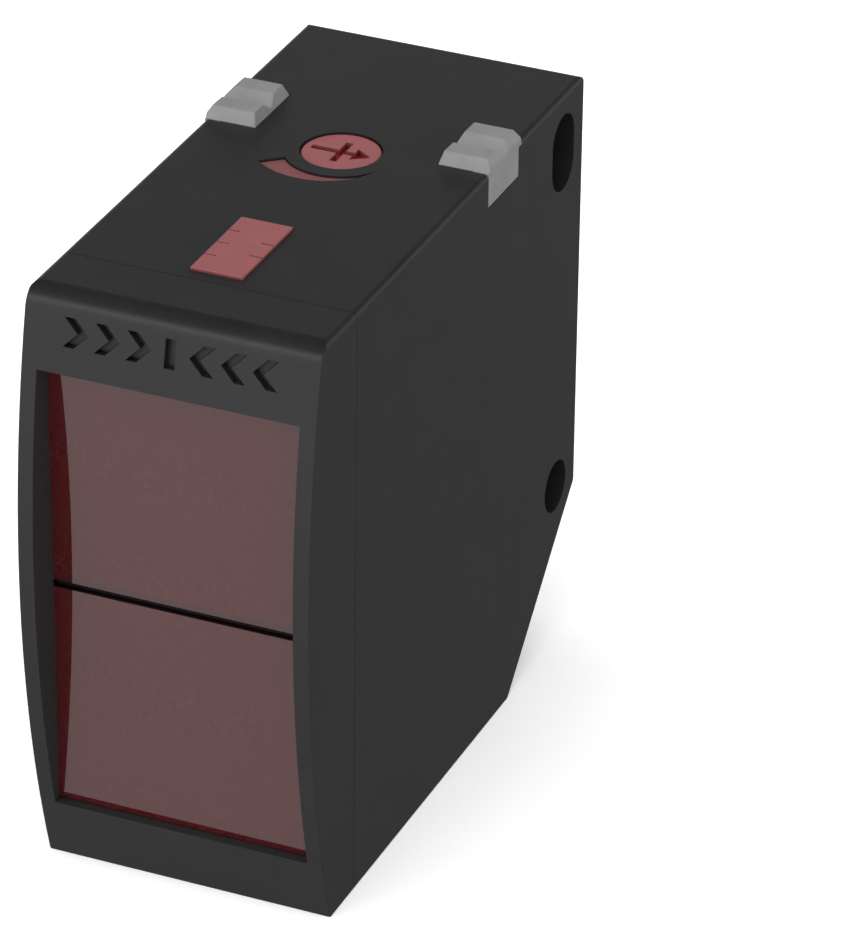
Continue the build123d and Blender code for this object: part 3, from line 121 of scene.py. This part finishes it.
class Nodes:
    """Shorthand for the nodes of one material or world."""

    def __init__(self, tree, coordinates):
        self.tree = tree
        self.place = self.node("ShaderNodeTexCoord").outputs[coordinates]

    def node(self, kind, **settings):
        made = self.tree.nodes.new(kind)
        for key, value in settings.items():
            setattr(made, key, value)
        return made

    def link(self, output, socket):
        self.tree.links.new(output, socket)

    def along(self, axis):
        """One coordinate of the shaded point, or of the direction in a world."""
        split = self.node("ShaderNodeSeparateXYZ")
        self.link(self.place, split.inputs["Vector"])
        return split.outputs[axis]

    def noise(self, grain, detail=2.0, roughness=0.5, stretch=(1, 1, 1)):
        """Noise whose grains are about `grain` metres across, between 0 and 1."""
        mapping = self.node("ShaderNodeMapping")
        mapping.inputs["Scale"].default_value = stretch
        self.link(self.place, mapping.inputs["Vector"])
        texture = self.node("ShaderNodeTexNoise")
        texture.inputs["Scale"].default_value = 1 / grain
        texture.inputs["Detail"].default_value = detail
        texture.inputs["Roughness"].default_value = roughness
        self.link(mapping.outputs["Vector"], texture.inputs["Vector"])
        return texture.outputs["Fac"]

    def spread(self, value, low, high, start=0.3, end=0.7, easing="LINEAR"):
        """Maps a value's start..end range onto low..high, and holds it there outside the range."""
        mapped = self.node("ShaderNodeMapRange", interpolation_type=easing)
        mapped.inputs["From Min"].default_value = start
        mapped.inputs["From Max"].default_value = end
        mapped.inputs["To Min"].default_value = low
        mapped.inputs["To Max"].default_value = high
        self.link(value, mapped.inputs["Value"])
        return mapped.outputs["Result"]

    def above(self, value, level, blur):
        """0 up to the level, then rising to 1 over the blur."""
        return self.spread(value, 0, 1, level, level + blur)

    def below(self, value, level, blur):
        """1 up to the level, then falling to 0 over the blur."""
        return self.spread(value, 1, 0, level, level + blur)

    def combine(self, operation, first, second=None):
        """Simple arithmetic on one or two values."""
        result = self.node("ShaderNodeMath", operation=operation)
        self.link(first, result.inputs[0])
        if second is not None:
            self.link(second, result.inputs[1])
        return result.outputs["Value"]

    def mix(self, share, first, second):
        """Colour mix: each of first and second is a colour or an output."""
        mixed = self.node("ShaderNodeMix", data_type="RGBA")
        self.link(share, mixed.inputs[MIX_SHARE])
        for index, colour in ((MIX_FIRST, first), (MIX_SECOND, second)):
            if isinstance(colour, tuple):
                mixed.inputs[index].default_value = (*colour, 1)
            else:
                self.link(colour, mixed.inputs[index])
        return mixed.outputs[MIX_RESULT]

    def ramp(self, value, stops):
        """Grey that eases from stop to stop, where a stop is a position and a brightness."""
        ramp = self.node("ShaderNodeValToRGB")
        ramp.color_ramp.interpolation = "EASE"
        elements = ramp.color_ramp.elements
        elements.remove(elements[1])
        elements[0].position = stops[0][0]
        elements[0].color = (*[stops[0][1]] * 3, 1)
        for position, share in stops[1:]:
            elements.new(position).color = (share, share, share, 1)
        self.link(value, ramp.inputs["Fac"])
        return ramp.outputs["Color"]


class Surface(Nodes):
    """One procedural material: a Principled shader and the nodes before it."""

    def __init__(self, name):
        self.material = bpy.data.materials.new(name)
        self.material.use_nodes = True
        super().__init__(self.material.node_tree, "Object")
        self.shader = self.tree.nodes["Principled BSDF"]

    def fixed(self, **values):
        """Sets shader sockets that are the same all over: names have _ for a space."""
        for key, value in values.items():
            self.shader.inputs[key.replace("_", " ")].default_value = value

    def colour(self, output):
        self.link(output, self.shader.inputs["Base Color"])

    def roughness(self, output):
        self.link(output, self.shader.inputs["Roughness"])

    def relief(self, height, distance):
        """Bump of a real height in metres."""
        bump = self.node("ShaderNodeBump")
        bump.inputs["Distance"].default_value = distance
        self.link(height, bump.inputs["Height"])
        self.link(bump.outputs["Normal"], self.shader.inputs["Normal"])


# ---------------------------------------------------------------- materials
# Each of these dresses a new surface of its own name.
def moulded_plastic(surface, dark, light, rough, gloss, grain, depth, matt=None):
    """Moulded plastic: cloudy colour, a fine eroded grain, and slightly uneven roughness.

    matt is a mask, a colour and a roughness for a part of the surface without the polish.
    """
    clouds = surface.noise(3.5 * MM, detail=3)
    speck = surface.noise(grain, detail=2, roughness=0.6)
    tone = surface.mix(surface.spread(clouds, 0, 1), dark, light)
    tone = surface.mix(surface.spread(speck, 0, 0.35), tone, scaled(light, 1.4))
    polish = surface.spread(speck, rough + 0.03, rough - 0.03)
    if matt is not None:
        mask, matt_colour, matt_rough = matt
        tone = surface.mix(mask, tone, matt_colour)
        polish = surface.combine("MAXIMUM", polish, surface.spread(mask, 0, matt_rough, 0, 1))
    surface.colour(tone)
    surface.roughness(polish)
    surface.relief(speck, depth)
    surface.fixed(Specular_IOR_Level=gloss)


def case_plastic(surface, grain, matt=None):
    """The dark plastic that the housing and the front frame share."""
    moulded_plastic(
        surface,
        dark=(0.0090, 0.0090, 0.0092),
        light=(0.0112, 0.0112, 0.0114),
        rough=0.37,
        gloss=0.37,
        grain=grain,
        depth=0.0008 * MM,
        matt=matt,
    )


def housing_plastic(surface):
    case_plastic(surface, grain=0.11 * MM)


def frame_plastic(surface):
    """The housing's plastic, left matt on the walls of the front opening."""
    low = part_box("lower_window")[0].z
    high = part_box("upper_window")[1].z
    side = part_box("upper_window")[1].x
    height = surface.along("Z")
    across = surface.combine("ABSOLUTE", surface.along("X"))
    inside = surface.below(across, side + WALL_SIDE, WALL_BLUR)
    over = surface.above(height, low + WALL_FOOT, WALL_BLUR)
    under = surface.below(height, high + WALL_TOP, WALL_BLUR)
    walls = surface.combine("MULTIPLY", inside, surface.combine("MULTIPLY", over, under))
    case_plastic(surface, grain=0.10 * MM, matt=(walls, (0.0170, 0.0140, 0.0145), 0.85))


def inner_plastic(surface):
    moulded_plastic(
        surface,
        dark=(0.0030, 0.0028, 0.0028),
        light=(0.0048, 0.0044, 0.0044),
        rough=0.60,
        gloss=0.15,
        grain=0.12 * MM,
        depth=0.003 * MM,
    )


def seal_rubber(surface):
    moulded_plastic(
        surface,
        dark=(0.010, 0.010, 0.010),
        light=(0.014, 0.014, 0.014),
        rough=0.72,
        gloss=0.25,
        grain=0.08 * MM,
        depth=0.002 * MM,
    )


def window_red(surface):
    """Polished deep red pane with a fine haze; painted shade darkens the upper pane's foot, where the
    barrier lies behind it, and the groove.
    """
    grain = surface.noise(0.12 * MM, detail=1, roughness=0.6)
    clouds = surface.noise(6 * MM, detail=2)
    red = surface.mix(surface.spread(clouds, 0, 1), (0.042, 0.0004, 0.0006), (0.046, 0.0006, 0.0008))
    hazed = surface.mix(surface.spread(grain, 0, 1, 0.38, 0.62), red, (0.060, 0.0120, 0.0125))
    height = surface.along("Z")
    groove_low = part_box("lower_window")[1].z
    groove_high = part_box("upper_window")[0].z
    over = surface.above(height, groove_low - PANE_CHAMFER - CHAMFER_BLUR, CHAMFER_BLUR)
    foot = surface.below(height, groove_high + BARRIER_SHADE_HEIGHT, BARRIER_SHADE_BLUR)
    # Painted shade: a darker band along the upper pane's foot, where the barrier lies behind the pane.
    barrier_shaded = surface.mix(surface.combine("MULTIPLY", over, foot), hazed, (0.035, 0.0060, 0.0068))
    under = surface.below(height, groove_high + PANE_CHAMFER - CHAMFER_BLUR, CHAMFER_BLUR)
    groove = surface.combine("MULTIPLY", over, under)
    # Painted shade: near-black red in the groove between the panes.
    surface.colour(surface.mix(groove, barrier_shaded, (0.006, 0.0008, 0.0008)))
    surface.roughness(surface.spread(grain, 0.02, 0.04))
    surface.relief(grain, 0.0003 * MM)
    surface.fixed(IOR=1.81)


def guide_red(surface):
    """Satin red moulding that scatters light, with painted shade that makes it darker and deeper red
    where it lies lower.
    """
    clouds = surface.noise(2.5 * MM, detail=2)
    grain = surface.noise(0.16 * MM, detail=2)
    tone = surface.mix(surface.spread(clouds, 0, 1), (0.198, 0.056, 0.060), (0.220, 0.063, 0.067))
    tone = surface.mix(surface.spread(grain, 0, 0.25), tone, (0.26, 0.105, 0.11))
    height = surface.along("Z")
    knob_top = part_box("adjuster_knob")[1].z
    scale_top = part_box("sensitivity_scale")[1].z
    # Painted shade: a darker, greyer red for the guide's lower surfaces.
    raised = surface.spread(height, 0, 1, scale_top + SHADE_MARGIN, knob_top - SHADE_MARGIN)
    tone = surface.mix(raised, (0.150, 0.050, 0.052), tone)
    # Painted shade: a darker, deeper red in the engraved slots.
    face = surface.spread(height, 0, 1, scale_top - SLOT_SHADE_FOOT, scale_top - SLOT_SHADE_TOP)
    surface.colour(surface.mix(face, (0.170, 0.014, 0.014), tone))
    surface.roughness(surface.spread(grain, 0.34, 0.46))
    surface.relief(grain, 0.0007 * MM)
    surface.fixed(Specular_IOR_Level=0.5)


def rotor_plastic(surface):
    moulded_plastic(
        surface,
        dark=(0.66, 0.66, 0.63),
        light=(0.74, 0.74, 0.71),
        rough=0.45,
        gloss=0.5,
        grain=0.15 * MM,
        depth=0.002 * MM,
    )


def chip_resin(surface):
    moulded_plastic(
        surface,
        dark=(0.014, 0.014, 0.015),
        light=(0.020, 0.020, 0.021),
        rough=0.60,
        gloss=0.4,
        grain=0.06 * MM,
        depth=0.002 * MM,
    )


def flex_film(surface):
    moulded_plastic(
        surface,
        dark=(0.42, 0.20, 0.04),
        light=(0.50, 0.25, 0.06),
        rough=0.30,
        gloss=0.5,
        grain=0.4 * MM,
        depth=0.001 * MM,
    )


def grained_metal(surface, dark, light, rough, grain, depth, shine=1.0):
    """Metal with a fine grain in colour, roughness and surface."""
    clouds = surface.noise(1.8 * MM, detail=3)
    speck = surface.noise(grain, detail=2, roughness=0.65)
    tone = surface.mix(surface.spread(clouds, 0, 1), dark, light)
    surface.colour(surface.mix(surface.spread(speck, 0, 0.5), tone, scaled(light, 1.25)))
    surface.roughness(surface.spread(speck, rough - 0.07, rough + 0.07))
    surface.relief(speck, depth)
    surface.fixed(Metallic=shine)


def lug_metal(surface):
    """Dull cast metal, with much less mirror shine than the plated metals."""
    grained_metal(
        surface,
        dark=(0.172, 0.172, 0.174),
        light=(0.207, 0.207, 0.209),
        rough=0.50,
        grain=0.13 * MM,
        depth=0.008 * MM,
        shine=0.25,
    )


def can_metal(surface):
    grained_metal(
        surface,
        dark=(0.62, 0.62, 0.62),
        light=(0.70, 0.70, 0.70),
        rough=0.32,
        grain=0.2 * MM,
        depth=0.001 * MM,
    )


def screw_steel(surface):
    grained_metal(
        surface,
        dark=(0.50, 0.50, 0.52),
        light=(0.58, 0.58, 0.60),
        rough=0.30,
        grain=0.15 * MM,
        depth=0.001 * MM,
    )


def plated_brass(surface):
    grained_metal(
        surface,
        dark=(0.66, 0.50, 0.22),
        light=(0.76, 0.60, 0.30),
        rough=0.25,
        grain=0.2 * MM,
        depth=0.001 * MM,
    )


def clear_resin(surface, tint, rough):
    """Clear moulded part with faint flow lines."""
    flow = surface.noise(3 * MM, detail=2, stretch=(1, 1, 3))
    surface.colour(surface.mix(surface.spread(flow, 0, 1), tint, scaled(tint, 0.94)))
    surface.roughness(surface.spread(flow, rough, rough + 0.03))
    surface.fixed(Transmission_Weight=1.0, IOR=1.5)


def lens_clear(surface):
    clear_resin(surface, tint=(0.92, 0.93, 0.95), rough=0.02)


def lamp_resin(surface):
    clear_resin(surface, tint=(0.92, 0.88, 0.84), rough=0.12)


def board_laminate(surface):
    """Green solder mask with tracks that run as a faint relief."""
    tracks = surface.node("ShaderNodeTexVoronoi", feature="DISTANCE_TO_EDGE", distance="MANHATTAN")
    tracks.inputs["Scale"].default_value = 1 / (1.6 * MM)
    surface.link(surface.place, tracks.inputs["Vector"])
    lines = surface.spread(tracks.outputs["Distance"], 1, 0, 0.05, 0.09)
    weave = surface.noise(0.3 * MM, detail=2)
    mask = surface.mix(surface.spread(weave, 0, 1), (0.012, 0.10, 0.035), (0.018, 0.13, 0.045))
    surface.colour(surface.mix(lines, mask, (0.03, 0.20, 0.075)))
    surface.roughness(surface.spread(weave, 0.28, 0.38))
    surface.relief(lines, 0.02 * MM)


def floor_paint(surface):
    """Matt white that glows a little, so that the floor stays pale to its edges."""
    grain = surface.noise(40 * MM, detail=2)
    surface.colour(surface.mix(surface.spread(grain, 0, 1), (0.90, 0.90, 0.90), (0.92, 0.92, 0.92)))
    surface.roughness(surface.spread(grain, 0.85, 0.95))
    surface.fixed(Specular_IOR_Level=0.1, Emission_Color=(1, 1, 1, 1), Emission_Strength=FLOOR_GLOW)


def dressed(maker):
    """The material that a maker describes, under the maker's own name."""
    surface = Surface(maker.__name__)
    maker(surface)
    return surface.material


# One maker for each material slot of the record.
SLOT_MAKERS = (
    housing_plastic,
    frame_plastic,
    inner_plastic,
    seal_rubber,
    window_red,
    guide_red,
    rotor_plastic,
    lug_metal,
    lens_clear,
    lamp_resin,
    board_laminate,
    chip_resin,
    can_metal,
    screw_steel,
    plated_brass,
    flex_film,
)


def shade_by_angle(thing):
    """Smooth shading, with edges sharper than SHADE_ANGLE left crisp."""
    with bpy.context.temp_override(object=thing, active_object=thing, selected_editable_objects=[thing]):
        bpy.ops.object.shade_smooth_by_angle(angle=SHADE_ANGLE)


def dress_frame():
    """Gives every CAD node the finish of its slot, and smooth shading between close facets."""
    finishes = {maker.__name__: dressed(maker) for maker in SLOT_MAKERS}
    for part in frame["record"]["subparts"]:
        node = frame["nodes"][part["node"]]
        node.data.materials.clear()
        node.data.materials.append(finishes[part["material_slot"]])
        shade_by_angle(node)


# ---------------------------------------------------------------- stage
def pale_floor():
    """Plain matt white sheet under the object."""
    low = cad_low.z
    corners = [
        (-FLOOR_HALF, -FLOOR_HALF, low),
        (FLOOR_HALF, -FLOOR_HALF, low),
        (FLOOR_HALF, FLOOR_HALF, low),
        (-FLOOR_HALF, FLOOR_HALF, low),
    ]
    mesh = bpy.data.meshes.new("pale_floor")
    mesh.from_pydata(corners, [], [(0, 1, 2, 3)])
    mesh.materials.append(dressed(floor_paint))
    floor = bpy.data.objects.new("pale_floor", mesh)
    floor.visible_glossy = False
    bpy.context.collection.objects.link(floor)


def studio_world():
    """Soft surround: bright in front of the object, a low band of light behind it, dim overhead."""
    world = bpy.data.worlds.new("studio")
    world.use_nodes = True
    bpy.context.scene.world = world
    sky = Nodes(world.node_tree, "Generated")
    height = sky.spread(sky.along("Z"), 0, 1, -1, 1)
    behind = sky.spread(sky.along("Y"), 0, 1, REAR_START, REAR_END, easing="SMOOTHSTEP")
    glow = sky.mix(behind, sky.ramp(height, FRONT_GLOW), sky.ramp(height, REAR_GLOW))
    background = sky.tree.nodes["Background"]
    background.inputs["Strength"].default_value = WORLD_PEAK
    sky.link(glow, background.inputs["Color"])


def softbox(name, azimuth, elevation, width, height, power, mirrored):
    """Area light on a sphere round the object, turned to its middle."""
    data = bpy.data.lights.new(name, "AREA")
    data.shape = "RECTANGLE"
    data.size = width
    data.size_y = height
    data.energy = power
    away = direction(azimuth, elevation)
    light = bpy.data.objects.new(name, data)
    light.location = centre + away * LIGHT_DISTANCE
    light.rotation_euler = away.to_track_quat("Z", "Y").to_euler()
    light.visible_glossy = mirrored
    bpy.context.collection.objects.link(light)


def viewpoint():
    """Camera at the chosen angle, aimed a little beside the middle of the object."""
    away = direction(VIEW_AZIMUTH, VIEW_ELEVATION)
    level = Vector((0, 0, 1)).cross(away).normalized()
    upright = away.cross(level)
    roll = math.radians(VIEW_ROLL)
    right = level * math.cos(roll) + upright * math.sin(roll)
    up = upright * math.cos(roll) - level * math.sin(roll)
    turn = Matrix((right, up, away)).transposed().to_4x4()
    data = bpy.data.cameras.new("viewpoint")
    data.lens = VIEW_LENS
    camera = bpy.data.objects.new("viewpoint", data)
    camera.matrix_world = Matrix.Translation(centre + VIEW_OFFSET + away * VIEW_DISTANCE) @ turn
    bpy.context.collection.objects.link(camera)
    bpy.context.scene.camera = camera


viewpoint()
pale_floor()
studio_world()
for box_name, settings in SOFTBOXES.items():
    softbox(box_name, **settings)
dress_frame()
bpy.context.scene.view_settings.view_transform = "Standard"
